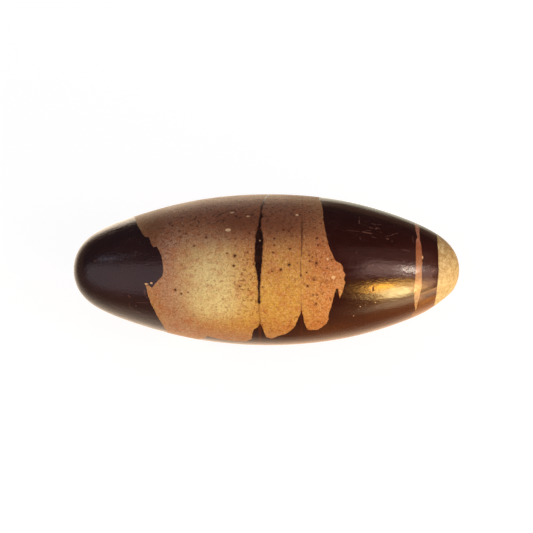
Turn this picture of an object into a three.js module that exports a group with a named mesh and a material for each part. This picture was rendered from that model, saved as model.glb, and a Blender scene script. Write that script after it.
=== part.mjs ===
// A river pebble: one long stone, rolled round by the water and rubbed smooth by hand.
// It lies on its side. +X runs along its length, +Y across it and +Z up, in millimetres,
// and the origin is the middle of its box at the level that it rests on.
import * as THREE from "three";
import { mergeVertices } from "three/addons/utils/BufferGeometryUtils.js";

// The whole stone: tip to tip, and the plain ellipse of its girth lying down
const length = 100;
const width = 39.2;
const height = 38.2;

// The girth from the left tip to the right one, as shares of a sine series. The first term
// is the plain ellipse. The rest straighten the shoulders and blunt the tips, and the
// second, fourth and sixth make the two ends differ.
const girthSeries = [1, 0.002, 0.0065, 0.008, 0.021, 0.002, 0.007];

// Slow swells that the water left. Each lifts the surface by up to its depth, repeats every
// pitch along the length, and goes round the girth a whole number of times.
const swells = [
  { depth: 0.06, pitch: 61, along: 0.6, round: 2, turn: 1.1 },
  { depth: 0.04, pitch: 37, along: 2.3, round: 3, turn: 0.4 },
  { depth: 0.02, pitch: 23, along: 4.1, round: 4, turn: 2.6 },
];

// Two places worn flat: the underside, which it rests on, and a rub near the right tip.
// Each is a plane that faces a way and stands a distance from the stone's middle.
// The edge is how far the round surface and the plane run into each other.
const rubTowardsTip = THREE.MathUtils.degToRad(37.7);
const rubRoundGirth = THREE.MathUtils.degToRad(60);
const wornPlaces = [
  { faces: new THREE.Vector3(0, 0, -1), stands: 18.8, edge: 0.12 },
  {
    faces: new THREE.Vector3(
      Math.sin(rubTowardsTip),
      -Math.cos(rubTowardsTip) * Math.sin(rubRoundGirth),
      -Math.cos(rubTowardsTip) * Math.cos(rubRoundGirth),
    ),
    stands: 33.9,
    edge: 0.3,
  },
];

// How finely the surface is faceted, round the girth and from tip to tip
const girthSteps = 84;
const lengthSteps = 46;

// The girth at a place along the length, as a share of the plain ellipse's girth there.
// Along runs from -1 at the left tip to 1 at the right one. The sine of a whole number of
// turns, over the sine of one, is a polynomial that each term gives the next.
function girthShare(along) {
  const fromLeft = -along;
  let [before, term] = [0, 1];
  let share = 0;
  girthSeries.forEach((part) => {
    share += part * term;
    [before, term] = [term, 2 * fromLeft * term - before];
  });
  return share;
}

// How far the swells lift the surface. They die away at the tips, where the girth closes.
function swellAt(along, turn) {
  const x = (along * length) / 2;
  const open = 1 - along ** 2;
  return swells.reduce(
    (sum, swell) =>
      sum +
      swell.depth *
        open *
        Math.sin((2 * Math.PI * x) / swell.pitch + swell.along) *
        Math.cos(swell.round * turn + swell.turn),
    0,
  );
}

// Pushes a point back to a worn plane, easing over the plane's edge
function wear(point, place) {
  const out = point.dot(place.faces) - place.stands;
  const ease = Math.max(place.edge - Math.abs(out), 0) ** 2 / (4 * place.edge);
  point.addScaledVector(place.faces, -Math.max(out, 0) - ease);
}

// Moves a point of the unit ball, whose poles are on X, to its place on the stone
function shape(point) {
  const along = THREE.MathUtils.clamp(point.x, -1, 1);
  const swell = swellAt(along, Math.atan2(point.z, point.y));
  const share = girthShare(along);
  point.set(
    (along * length) / 2,
    point.y * ((width / 2) * share + swell),
    point.z * ((height / 2) * share + swell),
  );
  wornPlaces.forEach((place) => wear(point, place));
}

// One closed skin of a ball, with its poles turned onto X
function ball() {
  const sphere = new THREE.SphereGeometry(1, girthSteps, lengthSteps);
  sphere.deleteAttribute("normal");
  sphere.deleteAttribute("uv");
  sphere.rotateZ(-Math.PI / 2);
  return mergeVertices(sphere, 1e-6);
}

// The stone's skin, set down with the middle of its box over the origin
function pebbleGeometry() {
  const skin = ball();
  const position = skin.getAttribute("position");
  const point = new THREE.Vector3();
  for (let i = 0; i < position.count; i += 1) {
    point.fromBufferAttribute(position, i);
    shape(point);
    position.setXYZ(i, point.x, point.y, point.z);
  }
  skin.computeBoundingBox();
  const { min, max } = skin.boundingBox;
  skin.translate(-(min.x + max.x) / 2, -(min.y + max.y) / 2, -min.z);
  skin.computeVertexNormals();
  return skin;
}

// Banded stone, rubbed to a satin polish: seen whole it is a warm brown
const polishedStone = new THREE.MeshStandardMaterial({
  color: 0x8a5f3e,
  roughness: 0.32,
  metalness: 0,
});

const pebble = new THREE.Mesh(pebbleGeometry(), polishedStone);
pebble.name = "pebble";

const stone = new THREE.Group();
stone.add(pebble);

export default stone;
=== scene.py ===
import math
from functools import partial

import bmesh
import bpy
import numpy as np
from mathutils import Matrix, Vector
from mathutils.bvhtree import BVHTree


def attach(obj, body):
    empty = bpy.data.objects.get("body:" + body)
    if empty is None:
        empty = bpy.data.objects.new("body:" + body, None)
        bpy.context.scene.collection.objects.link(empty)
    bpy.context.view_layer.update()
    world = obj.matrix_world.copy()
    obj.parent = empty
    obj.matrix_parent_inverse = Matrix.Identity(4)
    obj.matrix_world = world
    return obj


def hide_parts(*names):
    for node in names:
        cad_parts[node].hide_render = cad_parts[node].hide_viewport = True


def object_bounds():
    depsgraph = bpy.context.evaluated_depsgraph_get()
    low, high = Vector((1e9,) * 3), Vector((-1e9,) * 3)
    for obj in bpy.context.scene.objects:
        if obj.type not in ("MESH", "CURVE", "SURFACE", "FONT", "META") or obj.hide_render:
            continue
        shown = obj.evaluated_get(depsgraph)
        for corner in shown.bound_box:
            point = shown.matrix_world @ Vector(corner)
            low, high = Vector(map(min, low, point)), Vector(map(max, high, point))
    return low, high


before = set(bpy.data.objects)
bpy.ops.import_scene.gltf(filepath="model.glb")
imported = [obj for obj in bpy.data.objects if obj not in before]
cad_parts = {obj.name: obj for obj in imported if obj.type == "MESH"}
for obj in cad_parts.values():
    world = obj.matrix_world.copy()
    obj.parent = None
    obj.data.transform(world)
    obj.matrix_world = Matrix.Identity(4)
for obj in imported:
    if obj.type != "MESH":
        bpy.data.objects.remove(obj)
cadLow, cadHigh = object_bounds()
mm = 0.001  # metres in a millimetre
print("frame: loaded with", ", ".join(sorted(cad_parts)))


# Adds a node. A kind that names no family is a shader node. Plug gives its sockets, by place or
# by name, a value or what feeds them.
def addNode(tree, kind, plug=(), **settings):
    family = "" if kind.startswith(("Geometry", "Node")) else "ShaderNode"
    node = tree.nodes.new(family + kind)
    for name, value in settings.items():
        setattr(node, name, value)
    inUse = [socket for socket in node.inputs if socket.enabled]
    for key, value in plug.items() if isinstance(plug, dict) else enumerate(plug):
        socket = node.inputs[key] if isinstance(key, str) else inUse[key]
        if isinstance(value, bpy.types.Node):
            value = next(output for output in value.outputs if output.enabled)
        if isinstance(value, bpy.types.NodeSocket):
            tree.links.new(value, socket)
        elif value is not None:
            socket.default_value = value
    return node


# Adds an object with this data to the scene
def addObject(name, data):
    thing = bpy.data.objects.new(name, data)
    bpy.context.scene.collection.objects.link(thing)
    return thing


# The linear colour of an sRGB code, such as "c98f4e", by the standard's own curve
def toLinear(code):
    shares = [int(code[start:start + 2], 16) / 255 for start in (0, 2, 4)]
    return [s / 12.92 if s <= 0.04045 else ((s + 0.055) / 1.055) ** 2.4 for s in shares] + [1]


# The stone's form. The lengths are in mm, and the rules are those of its solid.
form = {
    "width": 39.2,  # of the plain ellipse of its girth, across
    "height": 38.2,  # and up
    "axisHeight": 18.8,  # of its long axis, above what it rests on
    # The girth from tip to tip, as shares of a sine series
    "girthSeries": [1, 0.002, 0.0065, 0.008, 0.021, 0.002, 0.007],
    # Slow swells: depth, pitch and start along the stone, times round it, and start round it
    "swells": [(0.06, 61, 0.6, 2, 1.1), (0.04, 37, 2.3, 3, 0.4), (0.02, 23, 4.1, 4, 2.6)],
    # Places worn flat: degrees towards the right tip and degrees round from straight down,
    # distance of the flat from the stone's middle, and how far its edge is rounded
    "worn": [(0, 0, 18.8, 0.12), (37.7, 60, 33.9, 0.3)],
    "ripple": 0.012,  # how far the hand polish wanders in and out
    "rippleNoise": (7, 2, 0.4),  # mm from crest to crest, detail and roughness
    "roundSteps": 224,  # faces of the plain ball round the stone, before it is split finer
    "lengthSteps": 216,  # and along it
    "hollowFar": 4,  # reaches from a hollow past which the distance isn't counted
}


# The tree that shapes a unit ball, poles on X, into the stone
def formTree():
    tree = bpy.data.node_groups.new("pebbleForm", "GeometryNodeTree")
    tree.is_modifier = True
    kinds = {"Ball": "Geometry", "Length": "Float", "Width": "Float", "Height": "Float", "Ripple": "Float"}
    kinds |= {"Hollows": "Object", "Hollow Depth": "Float", "Stone": "Material"}
    for name, kind in kinds.items():
        tree.interface.new_socket(name, in_out="INPUT", socket_type="NodeSocket" + kind)
    tree.interface.new_socket("Pebble", in_out="OUTPUT", socket_type="NodeSocketGeometry")
    add = partial(addNode, tree)
    given = add("NodeGroupInput").outputs

    ball = add("VectorMath", [add("GeometryNodeInputPosition")], operation="NORMALIZE")
    along, across, up = add("SeparateXYZ", [ball]).outputs
    turn = add("Math", [up, across], operation="ARCTAN2")

    # The girth's share: each term of the series comes from the two before it
    twice = add("Math", [along, -2.0], operation="MULTIPLY")
    before, term, share = 0.0, 1.0, 0.0
    for part in form["girthSeries"]:
        share = add("Math", [term, part, share], operation="MULTIPLY_ADD")
        doubled = add("Math", [twice, term], operation="MULTIPLY")
        before, term = term, add("Math", [doubled, before], operation="SUBTRACT")

    # The swells, which die away at the tips
    halfLength = add("Math", [given["Length"], 0.5], operation="MULTIPLY")
    x = add("Math", [along, halfLength], operation="MULTIPLY")
    squared = add("Math", [along, along], operation="MULTIPLY")
    openness = add("Math", [1.0, squared], operation="SUBTRACT")
    swell = 0.0
    for depth, pitch, startAlong, timesRound, startRound in form["swells"]:
        wave = add("Math", [x, 2 * math.pi / (pitch * mm), startAlong], operation="MULTIPLY_ADD")
        wave = add("Math", [wave], operation="SINE")
        ring = add("Math", [turn, timesRound, startRound], operation="MULTIPLY_ADD")
        ring = add("Math", [ring], operation="COSINE")
        both = add("Math", [wave, ring], operation="MULTIPLY")
        both = add("Math", [both, openness], operation="MULTIPLY")
        swell = add("Math", [both, depth * mm, swell], operation="MULTIPLY_ADD")

    sides = []
    for side, size in (across, given["Width"]), (up, given["Height"]):
        half = add("Math", [size, 0.5], operation="MULTIPLY")
        reach = add("Math", [half, share, swell], operation="MULTIPLY_ADD")
        sides.append(add("Math", [side, reach], operation="MULTIPLY"))
    point = add("CombineXYZ", [x, *sides])

    # The worn places push what stands past them back to their plane, over a rounded edge
    for towardsTip, roundFromDown, stands, edge in form["worn"]:
        tip, roll = math.radians(towardsTip), math.radians(roundFromDown)
        faces = (math.sin(tip), -math.cos(tip) * math.sin(roll), -math.cos(tip) * math.cos(roll))
        reach = add("VectorMath", [point, faces], operation="DOT_PRODUCT")
        out = add("Math", [reach, stands * mm], operation="SUBTRACT")
        past = add("Math", [out, 0.0], operation="MAXIMUM")
        near = add("Math", [out], operation="ABSOLUTE")
        near = add("Math", [edge * mm, near], operation="SUBTRACT")
        near = add("Math", [near, 0.0], operation="MAXIMUM")
        near = add("Math", [near, near], operation="MULTIPLY")
        back = add("Math", [near, 1 / (4 * edge * mm), past], operation="MULTIPLY_ADD")
        back = add("VectorMath", [faces, back], operation="SCALE")
        point = add("VectorMath", [point, back], operation="SUBTRACT")
    lifted = add("VectorMath", [point, tuple(stoneMiddle)])
    shaped = add("GeometryNodeSetPosition", {"Geometry": given["Ball"], "Position": lifted})

    # The polish wanders a little in and out
    place = add("GeometryNodeInputPosition")
    normal = add("GeometryNodeInputNormal")
    size, detail, rough = form["rippleNoise"]
    pace = {"Vector": place, "Scale": 1 / (size * mm), "Detail": detail, "Roughness": rough}
    ripple = add("Math", [add("TexNoise", pace), 0.5], operation="SUBTRACT")
    ripple = add("Math", [ripple, given["Ripple"]], operation="MULTIPLY")
    ripple = add("VectorMath", [normal, ripple], operation="SCALE")
    shaped = add("GeometryNodeSetPosition", {"Geometry": shaped, "Offset": ripple})

    # Each hollow sinks the surface round the nearest point of the object of hollows
    points = add("GeometryNodeObjectInfo", [given["Hollows"]]).outputs["Geometry"]
    nearest = add("GeometryNodeSampleNearest", [points, place])
    middle = add("GeometryNodeSampleIndex", [points, place, nearest], data_type="FLOAT_VECTOR")
    read = {}
    for name in "reachAlong", "reachRound", "depth", "chip":
        value = add("GeometryNodeInputNamedAttribute", [name], data_type="FLOAT")
        read[name] = add("GeometryNodeSampleIndex", [points, value, nearest], data_type="FLOAT")
    gap = add("VectorMath", [place, middle], operation="SUBTRACT")
    far = add("VectorMath", [gap, gap], operation="DOT_PRODUCT")
    gapAlong = add("SeparateXYZ", [gap]).outputs[0]
    farAlong = add("Math", [gapAlong, gapAlong], operation="MULTIPLY")
    farRound = add("Math", [far, farAlong], operation="SUBTRACT")
    parts = []
    for distance, reach in (farAlong, read["reachAlong"]), (farRound, read["reachRound"]):
        reach = add("Math", [reach, reach], operation="MULTIPLY")
        parts.append(add("Math", [distance, reach], operation="DIVIDE"))
    spread = add("Math", parts)
    bowl = add("MapRange", [spread, 0.0, 1.0, 1.0, 0.0], interpolation_type="SMOOTHSTEP")
    sink = -1.0
    for share in bowl, read["depth"], given["Hollow Depth"]:
        sink = add("Math", [sink, share], operation="MULTIPLY")
    sink = add("VectorMath", [normal, sink], operation="SCALE")

    # The material reads how far each point is from a hollow, in reaches, and whether it's a chip
    ratio = add("Math", [spread], operation="SQRT")
    ratio = add("Math", [ratio, form["hollowFar"]], operation="MINIMUM")
    for name, value in ("hollow", ratio), ("chip", read["chip"]):
        kept = [shaped, None, name, value]
        shaped = add("GeometryNodeStoreNamedAttribute", kept, data_type="FLOAT", domain="POINT")
    sunk = add("GeometryNodeSetPosition", {"Geometry": shaped, "Offset": sink})

    smooth = add("GeometryNodeSetShadeSmooth", [sunk, None, True])
    whole = add("GeometryNodeRealizeInstances", [smooth])
    painted = add("GeometryNodeSetMaterial", [whole, None, given["Stone"]])
    add("NodeGroupOutput", [painted])
    return tree


# Shapes a ball by the tree and returns the result as a plain mesh
def shapeBall(ball, tree, values):
    stone = addObject("ball", ball)
    modifier = stone.modifiers.new("form", "NODES")
    modifier.node_group = tree
    for item in tree.interface.items_tree:
        if item.in_out == "INPUT" and item.name in values:
            modifier[item.identifier] = values[item.name]
    evaluated = stone.evaluated_get(bpy.context.evaluated_depsgraph_get())
    shaped = bpy.data.meshes.new_from_object(evaluated)
    stone.modifiers.remove(modifier)
    bpy.data.objects.remove(stone)
    return shaped


# A unit ball with its poles on X
def plainBall(roundSteps, lengthSteps):
    ball = bmesh.new()
    bmesh.ops.create_uvsphere(ball, u_segments=roundSteps, v_segments=lengthSteps, radius=1)
    for vertex in ball.verts:
        x, y, z = vertex.co
        vertex.co = (z, y, -x)
    return ball


# A difference of two turns, from half a turn back to half a turn on
def wrap(turn):
    return (turn + math.pi) % (2 * math.pi) - math.pi


# How the photograph was taken. Its pixels are counted from the top left corner.
photo = {
    "pixels": 533,  # across, and down
    "mmPerPixel": 0.26,  # at the stone's middle: 384.6 pixels from tip to tip for 100 mm
    "stoneMiddle": (266.46, 269.6),  # the pixel that the stone's middle falls on
    "lookDown": 60,  # degrees below level that the camera looks
    "lens": 85,  # mm, on a film of the next size
    "film": 36,
    # A point that falls just off the outline is drawn in, at most to this share of its distance
    # from the stone's middle line, in this many tries
    "drawnIn": 0.8,
    "tries": 41,
}

# The camera. It looks down on the lying stone, with the stone's length across the picture.
down = math.radians(photo["lookDown"])
toRight = Vector((1, 0, 0))
toCamera = Vector((0, -math.cos(down), math.sin(down)))
pictureUp = Vector((0, math.sin(down), math.cos(down)))
stoneMiddle = Vector((0, 0, form["axisHeight"] * mm))
pixelSize = photo["mmPerPixel"] * mm
pictureMiddle = photo["pixels"] / 2
aim = (
    stoneMiddle
    + toRight * (pictureMiddle - photo["stoneMiddle"][0]) * pixelSize
    - pictureUp * (pictureMiddle - photo["stoneMiddle"][1]) * pixelSize
)
away = photo["pixels"] * pixelSize * photo["lens"] / photo["film"]
lensData = bpy.data.cameras.new("camera")
lensData.lens = photo["lens"]
lensData.sensor_width = photo["film"]
camera = addObject("camera", lensData)
camera.location = aim + toCamera * away
camera.rotation_euler = (-toCamera).to_track_quat("-Z", "Y").to_euler()
bpy.context.scene.camera = camera
print(f"camera: {away / mm:.0f} mm from the stone")


# The markings. Seen points are pixels of the photograph. Hidden points, which it doesn't show,
# are millimetres along the stone from its middle and degrees round it from the camera's side.
outlines = {
    # Where the dark left cap ends
    "capEdge": [("seen", [
        (134.5, 217.2), (136, 220.6), (137.7, 225.7), (141.2, 231.3), (144.8, 236.4), (148.9, 237.4),
        (150.9, 243.1), (153.5, 246.9), (157, 246.6), (159.6, 251.2), (161.6, 256.3), (162.9, 263.5),
        (163.2, 271.6), (162.1, 276.7), (158.6, 279.8), (155, 283.9), (151.9, 288.5), (149.9, 285.9),
        (145.3, 284.4), (146.8, 290), (148.4, 296.1), (150.9, 303.3), (154.5, 310.4), (162.7, 324.7),
        (166.7, 331.3),
    ]), ("hidden", [
        (-25.2, -92), (-24.4, -108), (-26.5, -122), (-26, -135), (-29.2, -150), (-31.4, -172),
        (-30, -190), (-31.2, -207), (-34.5, -222), (-36.2, -245), (-35.4, -265),
    ])],
    # Where the dark right half begins, with its lobe, its fingers and the notch
    "darkEdge": [("seen", [
        (318.8, 199.2), (321.3, 203.3), (322.9, 210.4), (323.2, 219.6), (324.9, 228.8), (328, 244.1),
        (330.5, 250.2), (335.6, 261.4), (339.7, 263), (342.6, 266), (343, 270.6), (345.3, 274.7),
        (343.8, 279.8), (345.3, 282.3), (343.6, 286.9), (342.2, 293.1), (339.7, 298.2), (338.9, 294.1),
        (338.2, 289), (336.1, 288.5), (334.6, 294.1), (331, 306.3), (328, 316.5), (328.7, 318.8),
        (326.4, 323.7), (322.3, 326.7), (318.3, 329.3), (312.1, 330.3), (308.1, 329.8), (305, 324.7),
        (303.5, 317.6), (301.4, 308.9), (299.9, 314.5), (297.3, 320.6), (295.3, 325.7), (290.7, 330.8),
        (284.6, 334.4), (278.5, 335.9), (271.3, 338.5), (266.2, 336.9), (263.7, 330.8), (262.1, 326.7),
        (260.1, 322.7), (257.8, 327), (254, 329.3), (252.4, 332.9), (251.5, 339), (244.8, 341.5),
        (223.2, 339.8), (207, 336),
    ]), ("hidden", [
        (-17.8, -84), (-19, -97), (-16.5, -108), (-17, -116), (-10.5, -127), (-9, -146), (-3.5, -152),
        (-1, -168), (4.5, -172), (8.2, -186), (7.6, -204), (10.4, -214), (11, -232), (13.2, -250),
        (13.8, -270),
    ])],
    # The pale stripe near the right tip, thinning out to a point at both ends
    "stripe": [("seen", [
        (415.5, 311.1), (414.7, 304.7), (414.1, 292), (414.6, 286.2), (415.5, 276), (416, 256.9),
        (415.8, 250.5), (416.1, 244.1), (416, 239.7), (417.4, 237.6), (416.5, 233.9), (415.8, 231.4),
        (415.5, 228.8), (414.6, 225),
    ]), ("hidden", [
        (38.3, 84), (38, 105), (37.6, 130), (38, 152), (38.2, 172), (39, 190), (39.1, 172),
        (39.3, 152), (38.8, 130), (39.4, 105), (39.5, 84),
    ]), ("seen", [
        (419, 225), (419.7, 228.8), (419.2, 231.4), (419.5, 235.2), (419.8, 239.7), (420.9, 244.1),
        (422.2, 255.6), (422.7, 257.5), (421.9, 260.7), (422.5, 262.6), (421.8, 266.5), (421.6, 285.6),
        (421.2, 288.1), (420.3, 292), (419.7, 296.4), (418.1, 301.5), (416.8, 307.3),
    ])],
    # Where the pale right tip begins
    "tip": [("seen", [
        (436.9, 235.5), (437.5, 239.7), (437.8, 246), (438.6, 265.2), (438.8, 269.6), (438.5, 275.4),
        (437.8, 280.5), (436.9, 290.1), (436.2, 295.2), (434, 304.7), (434.4, 307),
    ]), ("hidden", [
        (43.8, -84), (44, -110), (44.6, -135), (44.3, -160), (44.9, -185), (44.2, -215), (44.5, -240),
        (44, -270),
    ])],
    # The caramel part of the dark band between them, partly the stone's own caramel colour and partly
    # painted warm light
    "caramel": [("seen", [
        (417, 295), (419.9, 294.2), (425.7, 292.3), (430.8, 290.1), (437.5, 287.2), (438.5, 297),
        (435.5, 306),
    ]), ("hidden", [
        (44.5, -84), (44.5, -104), (42.5, -122), (40, -112), (37.5, -98), (36.8, -84),
    ]), ("seen", [
        (413, 312.5), (416.2, 310), (418, 302),
    ])],
    # The dark wedge along the top of the caramel part
    "wedge": [("seen", [
        (421, 296), (425.7, 293.6), (430.8, 291.4), (438, 288.3), (438.5, 296), (434, 295.6),
        (430, 297), (425, 298.6),
    ])],
}

# The light seam along the top of the caramel part
seamLine = [("seen", [(419.9, 294.2), (425.7, 292.3), (430.8, 290.1), (436.9, 287.6)])]

# Dark lines that run round the stone. Each point also has the line's thickness there, in
# pixels where it is seen and in mm where it is hidden. Below zero the line fades out.
lines = {
    "vein": {"seen": [
        (267.8, 195.6, 1.1), (263.9, 201.2, 1.3), (261.4, 208.4, 1.5), (260.8, 213.5, 1.6),
        (261.2, 216.7, 3.4), (260.2, 219, 1.7), (259.7, 223.7, 2.2), (259.2, 228.8, 3.5),
        (259.1, 233.9, 6.3), (259.3, 241, 7.8), (258.7, 247.1, 7.4), (258.5, 261.4, 7.2),
        (258.6, 269.6, 5.2), (258.9, 275.7, 3.5), (258.9, 281.8, 2.6), (258.8, 292, 1.8),
        (258.8, 298.2, 2.3), (259.1, 302.2, 2.8), (258.7, 304.6, -0.2), (259.3, 313, -0.3),
        (260, 321, 0.4),
    ], "hidden": [
        (0.7, 92, 0.4), (1.1, 112, 1.3), (0.9, 134, 1.7), (0.2, 152, 0.5), (-0.4, 178, 0.3),
        (-0.8, 205, 0.2), (-1.5, 240, 0.1), (-1.7, 272, 0.1),
    ]},
    "hairline": {"seen": [
        (302.4, 200, 0), (302.2, 212, 0), (302, 224, 0.8), (301.9, 232, 1.3), (301.8, 245, 0.9),
        (301.5, 255, 0.8), (300.9, 259, -0.4), (300.8, 263, 0.8), (300.7, 270, 0.5), (300.8, 276, 0.6),
        (301.1, 281, -0.6), (301.2, 296, -0.5), (301.4, 308, 0.6),
    ], "hidden": [
        (9.5, 95, 0.1), (9.8, 130, 0.2), (9.4, 160, 0.12), (9.2, 190, 0), (9, 270, 0),
    ]},
}

# Soft patches of colour: the pixel of the middle, and how far each reaches along and round, in mm
patches = {
    # pale: a paler patch in the tan's middle, partly the stone's own colour and partly a painted sheen
    "pale": [(211, 277, 6.6, 7.5), (212, 305, 6.5, 4)],
    # gold: golden low in the tan's middle, partly the stone's own colour and partly painted warm light
    "gold": [(283, 296, 9, 11), (240, 300, 6, 10)],
    "rust": [
        (252, 256, 4, 8), (324, 248, 6, 7), (248, 298, 3, 12), (292, 328, 8, 2.5), (324, 300, 6, 12),
        (165, 240, 6, 7),
    ],
    # umber: darker along the top of the tan, partly the stone's own browner colour and partly painted
    # shade
    "umber": [(190, 216, 13, 5.8), (240, 210, 13, 5.8), (290, 214, 12, 6.8)],
    "blush": [(166, 258, 3, 12), (178, 312, 5, 7), (222, 337, 18, 3.5), (212, 236, 12, 3)],
    # russet: dark reddish-brown along the top of the tan, partly the stone's own colour and partly painted
    # shade
    "russet": [(285, 228, 9, 4), (152, 230, 4, 7), (236, 224, 7, 4)],
    # brown: warm brown in the dark stone below the highlight and by the tan's lower right end, a painted
    # warm reflection
    "brown": [(410, 308, 13, 8), (326, 333, 9, 4)],
}

# Rub marks that catch the light, with painted glints and a painted highlight spot among them: the
# pixels of both ends, the thickness in pixels, and how much each one shows
rubMarksAndGlints = [
    (344, 230.2, 361.4, 231.7, 0.5, 0.35), (361.4, 231.7, 372.7, 233.8, 0.9, 0.8),
    (359.3, 216, 359.3, 219.7, 0.5, 0.4), (359.3, 219.7, 359.3, 224, 0.9, 0.7),
    (359.9, 236.6, 360.4, 239.6, 0.9, 0.35), (364.5, 230.2, 371.6, 231, 0.5, 0.45),
    (368.6, 227.4, 373.7, 228.4, 1, 0.45), (370.6, 223.3, 376.7, 224.8, 0.8, 0.5),
    (376.7, 224.8, 382.3, 224.3, 0.8, 0.35), (375.2, 229.4, 377.8, 227.6, 1.5, 0.65),
    (377.8, 227.6, 379.8, 229.2, 1, 0.5), (370.6, 236.6, 376.7, 238.1, 0.8, 0.4),
    (363, 221.5, 368, 222.2, 0.6, 0.25), (385.9, 238.6, 389, 239.1, 1.3, 0.6),
    (384.9, 236.6, 391, 235.6, 0.5, 0.4), (391, 235.6, 394, 234, 0.7, 0.5),
    (394, 234, 398.7, 233, 0.7, 0.4), (391.8, 241, 392.4, 241.8, 1, 0.6),
    (401.2, 249.3, 410.4, 251.4, 0.7, 0.4), (355.6, 252.4, 357, 252.6, 2, 0.3),
    (412.4, 235.6, 413.5, 243.7, 1, 0.25), (357, 266.8, 362.4, 267.2, 0.5, 0.3),
    (367.3, 267.2, 371.5, 264.9, 0.7, 0.4), (371.5, 264.9, 374, 265.1, 0.7, 0.4),
    (378, 266, 384, 269.5, 0.6, 0.3), (404, 271, 409.4, 265.5, 1.4, 0.5),
    (406.6, 266.6, 407.6, 266.9, 2, 0.9), (431.4, 272.4, 435, 269.4, 1.4, 0.45),
    (430.9, 275.8, 431.6, 276, 1.3, 0.7), (375.6, 307, 381.4, 303.9, 0.9, 0.4),
    (381.4, 303.9, 388, 302.8, 0.6, 0.35), (384.7, 308.6, 397.2, 307, 0.6, 0.3),
    (371.2, 285.6, 371.4, 292, 0.6, 0.7), (93.2, 261.4, 96.6, 260.6, 1.8, 0.5),
    (96.6, 260.6, 99.5, 259.4, 1.2, 0.4), (107.6, 259.9, 111.8, 258.7, 0.8, 0.35),
    (87.4, 272.3, 88.7, 272.4, 1.1, 0.9), (84.2, 269, 85.3, 269.8, 1.3, 0.4),
    (135.2, 252.3, 136.8, 251.4, 1.2, 0.35), (135.1, 254.4, 135.5, 256.6, 0.9, 0.35),
    (146.8, 263, 147.6, 265.2, 1.8, 0.2), (127.9, 294.9, 130.7, 297.9, 1, 0.6),
    (135.4, 305.5, 136.5, 306.3, 1.5, 0.6), (129.3, 302, 129.6, 307.6, 1, 0.2),
    (129.6, 307.6, 135.3, 311.8, 1.3, 0.3), (135.3, 311.8, 140.9, 312.5, 1.1, 0.4),
    (135.3, 302.4, 149.3, 302.7, 0.7, 0.3), (144.4, 289.4, 145.1, 295.7, 1.3, 0.45),
    (145.1, 295.7, 147.9, 298.5, 0.9, 0.35), (442, 242.9, 449, 245.8, 0.8, 0.5),
]

# Small hollows. Pinholes are painted dark inside, as painted shade in the hollow, and chips are pale.
hollows = {
    # Pixel, and reach in mm
    "pinholes": [
        (172.5, 225.4, 0.2), (185.8, 233.6, 0.2), (206, 237.1, 0.24), (194, 245.8, 0.2), (175, 290, 0.26),
        (181.2, 293.7, 0.2), (234.6, 255.7, 0.32), (233.5, 265.7, 0.26), (239.7, 286.3, 0.18),
        (227, 253, 0.15), (262.5, 287, 0.16), (283.4, 229.6, 0.26), (289, 231, 0.18), (274.2, 238.4, 0.22),
        (274, 245, 0.18), (290, 248.6, 0.24), (309, 255, 0.18), (312, 257, 0.16), (288.9, 264.6, 0.32),
        (280.8, 269.6, 0.26), (317, 238, 0.24), (318, 245, 0.18), (316, 263, 0.24), (272, 271, 0.16),
        (314, 280, 0.18), (307.5, 286, 0.24), (313, 295, 0.2), (317, 295, 0.18), (316, 304, 0.24),
        (330, 298, 0.16), (273, 252.5, 0.2), (306.5, 272.5, 0.18), (301, 275.5, 0.2), (309.5, 261, 0.18),
        (331.5, 259.5, 0.16), (249.5, 233, 0.2), (188, 292.5, 0.15),
    ],
    "pinholeDepth": 1.1,  # times the reach
    # The pinholes of the hidden side, which are drawn by lot: how many, the mm along and the
    # degrees round that they lie between, and their least and greatest reach
    "hiddenPinholes": 72,
    "hiddenSpan": (-29, 11),
    "hiddenTurns": (95, 245),
    "hiddenSizes": (0.14, 0.3),
    "seed": 11,
    # Chips: pixel, reach along and round in mm, and depth in mm
    "chips": [
        (228, 230, 0.85, 0.5, 0.07), (232, 212.6, 0.55, 0.3, 0.05), (248, 216.3, 0.5, 0.24, 0.05),
        (297, 215, 0.5, 0.34, 0.06), (333.4, 277.4, 0.6, 0.5, 0.07), (327.6, 259, 0.35, 0.4, 0.06),
        (260, 240.6, 0.2, 0.16, 0.04), (360.4, 306.6, 0.18, 0.18, 0.04), (353.7, 315.8, 0.16, 0.2, 0.04),
        (375.4, 302.4, 0.16, 0.14, 0.04), (151.4, 283.2, 0.4, 0.3, 0.06), (146.5, 284, 0.8, 0.25, 0.06),
        (417.3, 227.2, 0.5, 0.35, 0.07), (422.6, 257.4, 0.2, 0.45, 0.05), (447, 289, 0.3, 0.4, 0.05),
        (450.5, 275, 0.25, 0.35, 0.05),
    ],
    # The cut, given as the chips are, but painted dark inside as painted shade, as the pinholes are
    "cuts": [(373, 289, 0.16, 0.75, 0.12)],
}


# Where points are on the stone: mm along, radians round from the camera's side, and mm of girth
def placesOf(points):
    fromAxis = (np.asarray(points) - np.array(stoneMiddle)) / mm
    out, rise = fromAxis @ np.array(toCamera), fromAxis @ np.array(pictureUp)
    return fromAxis[:, 0], np.arctan2(rise, out), np.hypot(out, rise)


# The point of the stone's skin that a pixel of the photograph shows
def seenPoint(skin, pixel):
    x = (pixel[0] - pictureMiddle) * pixelSize
    for inward in np.linspace(1, photo["drawnIn"], photo["tries"]):
        row = photo["stoneMiddle"][1] + (pixel[1] - photo["stoneMiddle"][1]) * inward
        target = aim + toRight * x - pictureUp * (row - pictureMiddle) * pixelSize
        hit = skin.ray_cast(camera.location, (target - camera.location).normalized())[0]
        if hit:
            return hit
    raise ValueError(f"pixel {pixel} isn't on the stone")


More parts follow.
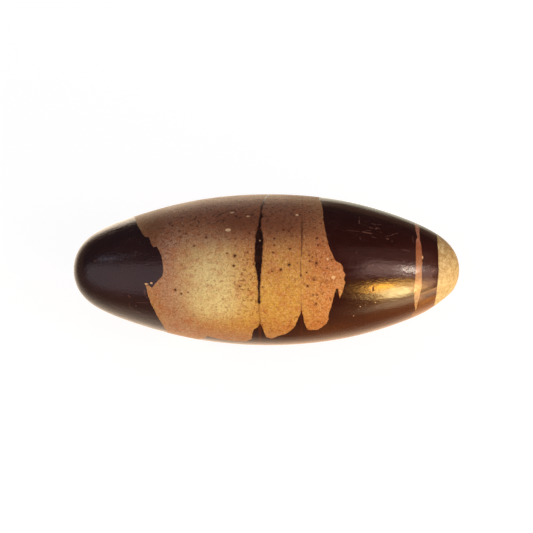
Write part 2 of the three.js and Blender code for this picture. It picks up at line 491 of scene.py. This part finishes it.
# The point of the skin at mm along and degrees round, found from a metre out
def roundPoint(skin, along, degrees):
    turn = math.radians(degrees)
    outward = toCamera * math.cos(turn) + pictureUp * math.sin(turn)
    start = stoneMiddle + Vector((along * mm, 0, 0)) + outward
    return skin.ray_cast(start, -outward)[0]


# An outline as mm along and radians round
def traced(skin, runs):
    places = []
    for kind, points in runs:
        if kind == "seen":
            along, turn, girth = placesOf([seenPoint(skin, pixel) for pixel in points])
            places += list(zip(along, turn))
        else:
            places += [(along, math.radians(degrees)) for along, degrees in points]
    return np.array(places)


# Mm from each place to the straight way between two points of the skin, and how far along it
# the nearest point is, from 0 to 1
def fromWay(places, start, end):
    along, turn, girth = places
    x, s = start[0] - along, wrap(start[1] - turn) * girth
    wayX, wayS = end[0] - start[0], wrap(end[1] - start[1]) * girth
    share = np.clip(-(x * wayX + s * wayS) / (wayX**2 + wayS**2), 0, 1)
    return np.hypot(x + share * wayX, s + share * wayS), share


# Mm from each place to an outline. It is positive where the way there from the left tip
# crosses the outline an odd number of times.
def fieldOf(places, outline, closed=True):
    along, turn, girth = places
    nearest = np.full(len(along), np.inf)
    crossed = np.zeros(len(along), int)
    ends = np.roll(outline, -1, axis=0)
    count = len(outline) if closed else len(outline) - 1
    for start, end in zip(outline[:count], ends[:count]):
        nearest = np.minimum(nearest, fromWay(places, start, end)[0])
        step, fromTurn = wrap(end[1] - start[1]), wrap(start[1] - turn)
        passes = (fromTurn > 0) != (fromTurn + step > 0)
        crossing = start[0] - (end[0] - start[0]) * fromTurn / (step or 1)
        crossed += passes & (crossing < along)
    return nearest * np.where(crossed % 2, 1, -1)


# The fields that the material reads, at every place. A rub mark or painted glint fades out at both ends.
def fieldsAt(places, marks):
    along, turn, girth = places
    fields = {name: fieldOf(places, outline) for name, outline in marks["outlines"].items()}
    fields["tan"] = np.minimum(fields.pop("capEdge"), -fields.pop("darkEdge"))
    fields["seam"] = np.abs(fieldOf(places, marks["seam"], closed=False))
    for name, (lineAlong, lineTurn, thickness) in marks["lines"].items():
        middle = np.interp(turn, lineTurn, lineAlong, period=2 * math.pi)
        fields[name + "Side"] = along - middle
        fields[name + "Half"] = np.interp(turn, lineTurn, thickness / 2, period=2 * math.pi)
    for name, spots in marks["patches"].items():
        fields[name] = sum(
            np.exp(-((along - x) / reachAlong) ** 2 - (wrap(turn - t) * girth / reachRound) ** 2)
            for x, t, reachAlong, reachRound in spots
        )
    fields["rub"], fields["rubShows"] = np.full(len(along), np.inf), np.zeros(len(along))
    for start, end, thickness, shows in marks["rubs"]:
        distance, share = fromWay(places, start, end)
        fromEdge = distance - thickness / 2
        fading = shows * (1 - (2 * share - 1) ** 4)
        fields["rubShows"] = np.where(fromEdge < fields["rub"], fading, fields["rubShows"])
        fields["rub"] = np.minimum(fields["rub"], fromEdge)
    return fields


# Reads every marking off the smooth skin
def readMarks(skin):
    marks = {"outlines": {name: traced(skin, runs) for name, runs in outlines.items()}}
    marks["seam"] = traced(skin, seamLine)
    marks["lines"] = {}
    for name, line in lines.items():
        along, turn, girth = placesOf([seenPoint(skin, point) for point in line["seen"]])
        thickness = [point[2] * photo["mmPerPixel"] for point in line["seen"]]
        hidden = np.array(line["hidden"])
        marks["lines"][name] = (
            np.append(along, hidden[:, 0]),
            np.append(turn, np.radians(hidden[:, 1])),
            np.append(thickness, hidden[:, 2]),
        )
    marks["patches"] = {}
    for name, spots in patches.items():
        along, turn, girth = placesOf([seenPoint(skin, spot) for spot in spots])
        reaches = [spot[2:] for spot in spots]
        marks["patches"][name] = [(a, t, *r) for a, t, r in zip(along, turn, reaches)]
    marks["rubs"] = []
    for startX, startY, endX, endY, thickness, shows in rubMarksAndGlints:
        start, end = traced(skin, [("seen", [(startX, startY), (endX, endY)])])
        marks["rubs"].append((start, end, thickness * photo["mmPerPixel"], shows))
    return marks


# An object of loose points, one in the middle of each hollow, and the list of the hollows
def hollowPoints(skin):
    dice = np.random.default_rng(hollows["seed"])
    pinholes = [(seenPoint(skin, hole[:2]), hole[2]) for hole in hollows["pinholes"]]
    for _ in range(hollows["hiddenPinholes"]):
        along, degrees = dice.uniform(*hollows["hiddenSpan"]), dice.uniform(*hollows["hiddenTurns"])
        pinholes.append((roundPoint(skin, along, degrees), dice.uniform(*hollows["hiddenSizes"])))
    found = [(point, size, size, size * hollows["pinholeDepth"], 0) for point, size in pinholes]
    for kind, isChip in ("cuts", 0), ("chips", 1):
        for x, y, reachAlong, reachRound, sinks in hollows[kind]:
            found.append((seenPoint(skin, (x, y)), reachAlong, reachRound, sinks, isChip))
    points = bpy.data.meshes.new("hollows")
    points.from_pydata([row[0] for row in found], [], [])
    columns = (1, "reachAlong", mm), (2, "reachRound", mm), (3, "depth", mm), (4, "chip", 1)
    for column, name, unit in columns:
        values = points.attributes.new(name, "FLOAT", "POINT")
        values.data.foreach_set("value", [row[column] * unit for row in found])
    return addObject("hollows", points), found


# How the ball's faces are split finer round the markings and the hollows
finer = {
    # The passes: how near to a face, in mm, an edge and the rim of a hollow have to be
    "passes": [(0.65, 0.65), (0.33, 0.33), (0, 0.1)],
    # The edges, and their share of that distance. The rub marks, which hold the painted glints too,
    # are long, so they have less.
    "edges": {"tan": 1, "tip": 1, "stripe": 1, "seam": 1, "rub": 0.45},
}


def refine(ball, marks, found):
    girth = (form["width"] + form["height"]) / 4
    length = (cadHigh.x - cadLow.x) / mm
    scale = np.array([length / 2, girth, girth]) * mm
    middles = np.array([row[0] for row in found])
    reaches = np.array([max(row[1:3]) for row in found])
    for edgeMargin, hollowMargin in finer["passes"]:
        faces = list(ball.faces)
        centres = np.array([face.calc_center_median() for face in faces])
        points = centres * scale + np.array(stoneMiddle)
        near = np.zeros(len(faces), bool)
        if edgeMargin:
            fields = fieldsAt(placesOf(points), marks)
            for name, share in finer["edges"].items():
                near |= np.abs(fields[name]) < edgeMargin * share
        for middle, reach in zip(middles, reaches):
            near |= np.linalg.norm(points - middle, axis=1) < (reach + hollowMargin) * mm
        edges = {edge for face, chosen in zip(faces, near) if chosen for edge in face.edges}
        bmesh.ops.subdivide_edges(ball, edges=list(edges), cuts=1, use_grid_fill=True)


# The stone itself: quartz rock rolled by a river and rubbed by hand to a satin polish. That gives
# the eye a soft, lightly scratched gloss over colours that lie inside the stone, with some painted
# light and shade among them. The maroon is glossier and cloudy, and the tan is sandy, with pores and
# rusty flecks.
finish = {
    # Painted light and shade among these colours: umber and russet are partly painted shade, gold is
    # partly painted warm light, pale partly a painted sheen, brown in the dark stone a painted warm
    # reflection, caramel partly painted warm light, the stripe's top colour a painted sheen, the rub
    # marks' colour also colours painted glints, and pore also paints shade inside the pinholes
    "colours": {
        "capMaroon": "2b181b", "maroon": "290e0b", "brown": "573116", "cloud": "3a1c1a",
        "tan": "b08648", "pale": "d4d098", "gold": "bf9c3c", "rust": "a8602a", "umber": "865238",
        "blush": "a4806c", "russet": "6a3a22", "sandLight": "f0e0bc", "sandDark": "6c4018",
        "speck": "6e3812", "pore": "160806",
        "vein": "1d0a08", "veinBrown": "44200f", "stripe": "844a32", "stripeTopSheen": "a87868",
        "stripeLow": "ae9672", "caramel": "775230", "wedge": "4a2413", "seam": "9c7c4c",
        "tip": "aa9a6c", "tipPale": "cecaa6", "tipDark": "8c6a34", "chip": "d8bd98", "rub": "7a5a52",
    },
    # Noises: mm from lump to lump, how much they are drawn out along and round the stone, detail,
    # roughness, and the value where each begins to show and where it shows fully. Real grains of
    # the sand, of about 0.1 mm, are too fine to show, so the sand and the grit are drawn coarser.
    "noises": {
        "clouds": (8, 1, 1, 3, 0.5, 0.42, 0.64),
        "mottles": (2.6, 1, 1, 4, 0.62, 0.5, 0.66),
        "rustyMottles": (1.5, 1, 1, 3, 0.6, 0.54, 0.64),
        "bands": (1.8, 0.5, 5, 3, 0.6, 0.5, 0.68),
        "sandLights": (0.42, 1, 1, 3, 0.7, 0.46, 0.76),
        "sandDarks": (0.46, 1, 1, 3, 0.7, 0.5, 0.68),
        "specks": (0.8, 1, 1, 4, 0.7, 0.54, 0.62),
        "clumps": (3.4, 1, 1, 3, 0.6, 0.42, 0.62),
        "streaks": (0.7, 6, 1, 4, 0.65, 0.5, 0.66),
        "grit": (0.3, 1, 1, 2, 0.6, 0.4, 0.7),
        "tipLumps": (1, 1, 1, 3, 0.6, 0.44, 0.6),
        "smears": (1.6, 4, 1, 4, 0.62, 0.46, 0.68),
        "rubbed": (7, 1, 1, 2, 0.5, 0.5, 0.62),
        "grains": (1.3, 1, 1, 5, 0.65, 0, 1),
        "longWaves": (2.6, 4, 1, 3, 0.55, 0, 1),
        "waves": (0.9, 4, 1, 3, 0.55, 0, 1),
        "shortWaves": (0.36, 3, 1, 3, 0.55, 0, 1),
    },
    # What shows only where both of two others do
    "together": {
        "clumpedSpecks": ("specks", "clumps"), "rustySpecks": ("specks", "rust"),
        "umberSpecks": ("specks", "umber"),
    },
    # Flecks, one to a cell: mm across a cell, radius in mm, share of the cells that have one
    "flecks": {
        "rustFlecks": (1.25, 0.34, 0.5),
        "darkFlecks": (0.8, 0.17, 0.45),
        "smallFlecks": (0.5, 0.12, 0.4),
    },
    # Each kind of stone is a ground colour under layers: what shows a layer, how strongly, and
    # the layer's colour
    "stones": {
        "dark": ("capMaroon", [
            # brown lays the painted warm reflection below the highlight
            ("towardsRight", 1, "maroon"), ("clouds", 0.3, "cloud"), ("brown", 0.8, "brown"),
            ("smears", 0.3, "cloud"), ("streaks", 0.3, "cloud"), ("grit", 0.3, "pore"),
        ]),
        "caramel": ("caramel", [
            ("mottles", 0.25, "tan"), ("sandDarks", 0.3, "brown"), ("smears", 0.3, "brown"),
        ]),
        "tan": ("tan", [
            # Of the tan's layers, gold and pale are partly painted light, and umber and russet partly
            # painted shade
            ("clouds", 0.25, "rust"), ("rust", 0.65, "rust"), ("gold", 0.9, "gold"),
            ("pale", 0.95, "pale"), ("blush", 0.65, "blush"), ("umber", 0.8, "umber"),
            ("bands", 0.2, "rust"), ("mottles", 0.5, "rust"), ("rustyMottles", 0.5, "rust"),
            ("pale", 0.4, "pale"), ("rustFlecks", 0.45, "rust"),
            ("sandLights", 0.45, "sandLight"), ("umber", 0.4, "umber"),
            ("russet", 0.6, "russet"), ("sandDarks", 0.5, "sandDark"), ("clumpedSpecks", 0.5, "speck"),
            ("rustySpecks", 0.6, "speck"), ("umberSpecks", 0.5, "vein"), ("darkFlecks", 0.45, "speck"),
            ("smallFlecks", 0.45, "pore"),
        ]),
        "wedge": ("wedge", [("smears", 0.5, "caramel"), ("grit", 0.2, "pore")]),
        "vein": ("vein", [("mottles", 0.7, "veinBrown"), ("sandDarks", 0.6, "veinBrown")]),
        "stripe": ("stripe", [
            # highSide lays a painted sheen, lighter and pinker, over the stripe's top
            ("highSide", 0.8, "stripeTopSheen"), ("lowSide", 1, "stripeLow"), ("mottles", 0.4, "speck"),
            ("sandDarks", 0.5, "rust"), ("sandLights", 0.3, "stripeLow"), ("specks", 0.3, "speck"),
        ]),
        "tip": ("tip", [
            ("tipLumps", 0.9, "tipPale"), ("mottles", 0.8, "tipDark"), ("rustyMottles", 0.6, "tipDark"),
            ("lowSide", 0.5, "tipPale"), ("sandLights", 0.6, "tipPale"), ("sandDarks", 0.7, "tipDark"),
            ("smallFlecks", 0.4, "rust"),
        ]),
    },
    # How each edge wanders between the grains, and how soft it is, in mm
    "edges": {
        "caramel": (0.5, 0.3), "wedge": (1.2, 0.5), "tan": (0.5, 0.07), "stripe": (0.3, 0.08),
        "tip": (0.25, 0.07),
    },
    # The same of the dark lines, their strength, and how many mm their rusty fringe is wide
    "lines": {"hairline": (0.2, 0.1, 0.7, 0.15), "vein": (0.8, 0.1, 1, 0.4)},
    "lineGloss": 0.6,  # how near the lines come to the dark stone's gloss
    # Slow changes over the stone: which way each runs, and the mm where it starts and is full
    "changes": {
        # highSide, here, is where the painted sheen on the stripe's top shows
        "towardsRight": (toRight, -25, 0), "highSide": (pictureUp, 13.5, 17.5),
        "lowSide": (pictureUp, 15, 4),
    },
    # Mm from the seam's line and from the edge of a rub mark or painted glint where each begins to show
    # and where it shows fully, the least that shows, and the most
    "seam": (0.2, 0.06, 0, 0.55),
    "rub": (0.12, -0.06, 0, 0.7),
    # Pinholes are painted dark inside, as painted shade in the hollow, and rusty round the rim, and
    # chips are pale. Each spot has the shares of the hollow's reach where it begins to show and shows
    # fully, its strength and its colour.
    "spots": [
        ("pinhole", 2.6, 1, 0.6, "speck"), ("pinhole", 1.1, 0.4, 0.95, "pore"),
        ("chip", 1, 0.7, 0.85, "chip"),
    ],
    # Scratches left by the rubbing: turn from the stone's length in radians, mm apart, and
    # how much of the noise shows
    "scratches": [(0, 0.3, 0.34), (0.35, 0.4, 0.32), (-0.5, 0.42, 0.31)],
    "scratchLength": 20,  # times as long as they are apart
    "scratchEdge": 0.04,  # of the noise, over which they come up
    "scratchShows": 0.12,  # how far they lighten the stone
    "darkRoughness": 0.13,
    "capRoughness": 0.2,
    "tanRoughness": 0.46,
    # What each of these adds to the roughness, and where in its reach a hollow begins and is full
    "rougher": {"smears": 0.08, "mottles": -0.03, "grit": 0.05, "scratches": 0.15, "inHollow": 0.5},
    "hollowEdge": (1.2, 0.8),
    "ior": 1.54,  # quartz
    # Mm that these stand up: the waves of the polish and the scratches, and then the grit, first
    # in the dark stone and then in the tan
    "heights": {"longWaves": 0.05, "waves": 0.045, "shortWaves": 0.02, "scratches": -0.004},
    "gritHeights": (0.0015, 0.006),
}


def quartzStone():
    stone = bpy.data.materials.new("handRubbedQuartzStone")
    stone.use_nodes = True
    stone.node_tree.nodes.clear()
    add = partial(addNode, stone.node_tree)
    place = add("TexCoord").outputs["Object"]
    inMm = add("VectorMath", [place, 1 / mm], operation="SCALE")
    colour = {name: toLinear(code) for name, code in finish["colours"].items()}
    stored = "tan tip stripe caramel wedge seam veinSide veinHalf hairlineSide hairlineHalf"
    stored += " pale gold rust umber blush russet brown rub rubShows hollow chip"
    shows = {}
    for name in stored.split():
        shows[name] = add("Attribute", attribute_name=name).outputs["Fac"]

    for name, (size, longer, rounder, detail, rough, start, full) in finish["noises"].items():
        paces = tuple(1 / (size * stretch) for stretch in (longer, rounder, rounder))
        grid = add("Mapping", {"Vector": inMm, "Scale": paces})
        noise = add("TexNoise", {"Vector": grid, "Scale": 1, "Detail": detail, "Roughness": rough})
        shows[name] = add("MapRange", [noise, start, full])
    for name, (first, second) in finish["together"].items():
        shows[name] = add("Math", [shows[first], shows[second]], operation="MULTIPLY")
    for name, (size, radius, amount) in finish["flecks"].items():
        cells = add("TexVoronoi", {"Vector": inMm, "Scale": 1 / size}).outputs
        drawn = add("SeparateColor", [cells["Color"]]).outputs[0]
        drawn = add("Math", [drawn, amount], operation="LESS_THAN")
        fleck = add("MapRange", [cells["Distance"], radius / size, radius / size / 2])
        shows[name] = add("Math", [fleck, drawn], operation="MULTIPLY")
    for name, (way, start, full) in finish["changes"].items():
        reach = add("VectorMath", [inMm, tuple(way)], operation="DOT_PRODUCT")
        shows[name] = add("MapRange", [reach, start, full])

    shades = {}
    for kind, (ground, layers) in finish["stones"].items():
        shade = colour[ground]
        for name, strength, paint in layers:
            share = add("Math", [shows[name], strength], operation="MULTIPLY")
            shade = add("Mix", [share, shade, colour[paint]], data_type="RGBA")
        shades[kind] = shade

    # The coats that lie over the dark stone, in their order: what shows each, and its shade.
    # First come the zones, whose edges wander between the grains, then the seam and the lines.
    coats, zone = [], {}
    wander = add("Math", [shows["grains"], 0.5], operation="SUBTRACT")
    for name, (wide, soft) in finish["edges"].items():
        side = add("Math", [wander, wide, shows[name]], operation="MULTIPLY_ADD")
        zone[name] = add("MapRange", [side, -soft, soft])
        coats.append((zone[name], shades[name]))
    coats.append((add("MapRange", [shows["seam"], *finish["seam"]]), colour["seam"]))
    inLines = 0.0
    for name, (wide, soft, strength, wider) in finish["lines"].items():
        side = add("Math", [wander, wide, shows[name + "Side"]], operation="MULTIPLY_ADD")
        side = add("Math", [side], operation="ABSOLUTE")
        inside = add("Math", [shows[name + "Half"], side], operation="SUBTRACT")
        fringe = add("MapRange", [inside, -soft - wider, soft, 0, strength / 2])
        line = add("MapRange", [inside, -soft, soft, 0, strength])
        inLines = add("Math", [line, finish["lineGloss"], inLines], operation="MULTIPLY_ADD")
        coats += [(fringe, colour["speck"]), (line, shades["vein"])]

    shows["pinhole"] = add("Math", [1.0, shows["chip"]], operation="SUBTRACT")
    for kind, outer, inner, strength, paint in finish["spots"]:
        spot = add("MapRange", [shows["hollow"], outer, inner, 0, strength])
        spot = add("Math", [spot, shows[kind]], operation="MULTIPLY")
        coats.append((spot, colour[paint]))

    # Rub marks, painted glints and fine scratches
    rub = add("MapRange", [shows["rub"], *finish["rub"]])
    rub = add("Math", [rub, shows["rubShows"]], operation="MULTIPLY")
    scratches = 0.0
    for turn, apart, amount in finish["scratches"]:
        paces = (1 / (apart * finish["scratchLength"]), 1 / apart, 1 / apart)
        turned = add("VectorRotate", {"Vector": inMm, "Axis": tuple(toCamera), "Angle": turn})
        grid = add("Mapping", {"Vector": turned, "Scale": paces})
        fine = add("TexNoise", {"Vector": grid, "Scale": 1, "Detail": 2})
        fine = add("MapRange", [fine, 1 - amount, 1 - amount + finish["scratchEdge"]])
        scratches = add("Math", [scratches, fine], operation="MAXIMUM")
    shows["scratches"] = add("Math", [scratches, shows["rubbed"]], operation="MULTIPLY")
    share = add("Math", [shows["scratches"], finish["scratchShows"]], operation="MULTIPLY")
    coats += [(rub, colour["rub"]), (share, colour["rub"])]
    base = shades["dark"]
    for share, shade in coats:
        base = add("Mix", [share, base, shade], data_type="RGBA")

    # The tan and the tip are sandier than the dark stone, and the cap and the scratches are duller
    sandy = add("Math", [zone["tan"], zone["tip"]], operation="MAXIMUM")
    sandy = add("Math", [sandy, inLines], operation="SUBTRACT", use_clamp=True)
    rough = [shows["towardsRight"], 0, 1, finish["capRoughness"], finish["darkRoughness"]]
    rough = add("MapRange", rough)
    rough = add("Mix", [sandy, rough, finish["tanRoughness"]], data_type="FLOAT")
    shows["inHollow"] = add("MapRange", [shows["hollow"], *finish["hollowEdge"]])
    for name, change in finish["rougher"].items():
        rough = add("Math", [shows[name], change, rough], operation="MULTIPLY_ADD")

    # What stands up and sinks, in mm
    height = add("MapRange", [sandy, 0, 1, *finish["gritHeights"]])
    height = add("Math", [shows["grit"], height], operation="MULTIPLY")
    for name, reach in finish["heights"].items():
        height = add("Math", [shows[name], reach, height], operation="MULTIPLY_ADD")
    bump = add("Bump", {"Strength": 1, "Distance": mm, "Height": height})

    surface = {"Base Color": base, "Roughness": rough, "Normal": bump, "IOR": finish["ior"]}
    add("OutputMaterial", [add("BsdfPrincipled", surface)])
    return stone


stoneMaterial = quartzStone()
print("material: stone made")

# The smooth skin first, to read the markings off, then the fine one
formNodes = formTree()
values = {
    "Length": cadHigh.x - cadLow.x,
    "Width": form["width"] * mm,
    "Height": form["height"] * mm,
    "Ripple": form["ripple"] * mm,
    "Hollow Depth": 0.0,
    "Stone": stoneMaterial,
}
ball = plainBall(form["roundSteps"], form["lengthSteps"])
ballMesh = bpy.data.meshes.new("ball")
ball.to_mesh(ballMesh)
smoothMesh = shapeBall(ballMesh, formNodes, values)
corners = [vertex.co.copy() for vertex in smoothMesh.vertices]
skin = BVHTree.FromPolygons(corners, [tuple(face.vertices) for face in smoothMesh.polygons])
marks = readMarks(skin)
holder, found = hollowPoints(skin)
print("markings: read,", len(found), "hollows and", len(marks["rubs"]), "rub marks")

refine(ball, marks, found)
ball.to_mesh(ballMesh)
ball.free()
pebbleMesh = shapeBall(ballMesh, formNodes, values | {"Hollows": holder, "Hollow Depth": 1.0})
bpy.data.objects.remove(holder)
co = np.zeros(len(pebbleMesh.vertices) * 3, np.float32)
pebbleMesh.vertices.foreach_get("co", co)
fields = fieldsAt(placesOf(co.reshape(-1, 3)), marks)
for name, value in fields.items():
    attribute = pebbleMesh.attributes.new(name, "FLOAT", "POINT")
    attribute.data.foreach_set("value", value.astype(np.float32))
stonePiece = addObject("pebbleSkin", pebbleMesh)
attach(stonePiece, "root")
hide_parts("pebble")
pebbleMesh.calc_loop_triangles()
print("pebble:", len(pebbleMesh.loop_triangles), "triangles")

# The studio: a pale light table, soft lights on the camera's side, and a dim room
studio = {
    "floorReach": 3.0,  # metres from the stone
    "floorColour": "7c7c7c",  # the table as the camera sees it
    "floorRoughness": 0.9,
    "floorSeen": "fafafb",  # and its even glow
    "floorGlow": 0.93,
    # What the stone sees of the table: a warm glow that is brighter here and there. Each glow has
    # its middle and its reach in metres, its strength and its colour.
    "paperShade": "40342c",
    "paperRoughness": 0.6,
    "paperColour": "b48c70",  # of the glow
    "paperGlow": 0.38,
    "glowEdge": (1.4, 0.6),  # shares of its reach at which a glow begins and is full
    "glows": {
        "under": ((0.014, 0.0), (0.057, 0.024), 1.75, "fad0ac"),
        "sunPatch": ((0.115, -0.078), (0.05, 0.05), 3.5, "f4dcb4"),
        "closeBehind": ((0.03, 0.05), (0.035, 0.026), 1.1, "eee6cc"),
        "behind": ((-0.036, 0.14), (0.054, 0.15), 3.0, "ffead0"),
    },
    "roomColour": "e9edf2",
    "roomShine": 0.05,  # what the stone's gloss sees of the room
    "roomLight": 0.38,  # and what light the room gives
    "roomSeen": "f2f1ef",  # what the camera sees past the floor
    # Lights: degrees to the right of the camera's line and up from it, degrees that the light
    # leans over, metres from the stone, metres wide and high, watts, and colour
    "lights": {
        "goldenPane": (43.5, -27, -40, 0.7, 0.07, 0.11, 0.78, "ffae24"),
        "sunnyPane": (56.5, -37, -45, 0.7, 0.11, 0.23, 1.5, "fff0b0"),
        "haze": (53.5, -32, -45, 0.72, 0.25, 0.46, 3.3, "ffbe62"),
        "sill": (64, -24, 0, 0.7, 0.2, 0.2, 0.6, "ffc8a4"),
        "strip": (49, 0, 18, 0.8, 0.52, 0.3, 1.5, "f0c2b4"),
        "lamp": (49.5, 2, 0, 0.78, 0.035, 0.12, 0.5, "fff0dc"),
        "rightWall": (48, 22, 0, 0.8, 0.6, 0.4, 0.34, "e8b0a0"),
        "leftWall": (-51, -14, 0, 1.0, 1.2, 0.95, 3.1, "f0dce4"),
        "glint": (-57, 23, 0, 0.9, 0.2, 0.06, 0.11, "dce0f6"),
    },
}
reach = studio["floorReach"]
floorCorners = [(-reach, -reach, 0), (reach, -reach, 0), (reach, reach, 0), (-reach, reach, 0)]
floorMesh = bpy.data.meshes.new("floor")
floorMesh.from_pydata(floorCorners, [], [(0, 1, 2, 3)])
floor = addObject("floor", floorMesh)
acrylic = bpy.data.materials.new("frostedAcrylic")  # a light table's top: an even pale ground
acrylic.use_nodes = True
acrylic.node_tree.nodes.clear()
add = partial(addNode, acrylic.node_tree)
sheet = {"Base Color": toLinear(studio["floorColour"]), "Roughness": studio["floorRoughness"]}
sheet |= {"Emission Color": toLinear(studio["floorSeen"]), "Emission Strength": studio["floorGlow"]}
place = add("TexCoord").outputs["Object"]
glowing = [channel * studio["paperGlow"] for channel in toLinear(studio["paperColour"])]
for middle, reaches, strength, code in studio["glows"].values():
    away = add("VectorMath", [place, (*middle, 0)], operation="SUBTRACT")
    away = add("VectorMath", [away, (1 / reaches[0], 1 / reaches[1], 0)], operation="MULTIPLY")
    away = add("VectorMath", [away], operation="LENGTH")
    near = add("MapRange", [away, *studio["glowEdge"]], interpolation_type="SMOOTHSTEP")
    bright = [channel * strength for channel in toLinear(code)]
    glowing = add("Mix", [near, glowing, bright], data_type="RGBA")
paper = {"Base Color": toLinear(studio["paperShade"]), "Roughness": studio["paperRoughness"]}
paper |= {"Emission Color": glowing, "Emission Strength": 1}
ray = add("LightPath").outputs["Is Camera Ray"]
top = add("MixShader", [ray, add("BsdfPrincipled", paper), add("BsdfPrincipled", sheet)])
add("OutputMaterial", [top])
floorMesh.materials.append(acrylic)

for name, (right, up, lean, distance, width, height, watts, code) in studio["lights"].items():
    lightData = bpy.data.lights.new(name, "AREA")
    lightData.shape = "RECTANGLE"
    lightData.size, lightData.size_y = width, height
    lightData.energy = watts
    lightData.color = toLinear(code)[:3]
    side, rise = math.radians(right), math.radians(up)
    level = toCamera * math.cos(side) + toRight * math.sin(side)
    towards = level * math.cos(rise) + pictureUp * math.sin(rise)
    wide = toRight * math.cos(side) - toCamera * math.sin(side)
    axes = Matrix((wide, towards.cross(wide), towards)).transposed()
    light = addObject(name, lightData)
    light.matrix_world = (axes @ Matrix.Rotation(-math.radians(lean), 3, "Z")).to_4x4()
    light.location = stoneMiddle + towards * distance

room = bpy.data.worlds.new("room")
room.use_nodes = True
room.node_tree.nodes.clear()
add = partial(addNode, room.node_tree)
rays = add("LightPath").outputs
glow = add("Background", [toLinear(studio["roomColour"]), studio["roomShine"]])
for ray, code, strength in (
    ("Is Diffuse Ray", studio["roomColour"], studio["roomLight"]),
    ("Is Camera Ray", studio["roomSeen"], 1.0),
):
    seen = add("Background", [toLinear(code), strength])
    glow = add("MixShader", [rays[ray], glow, seen])
add("OutputWorld", [glow])
bpy.context.scene.world = room
bpy.context.scene.view_settings.view_transform = "Standard"
print("studio: floor and", len(studio["lights"]), "lights")
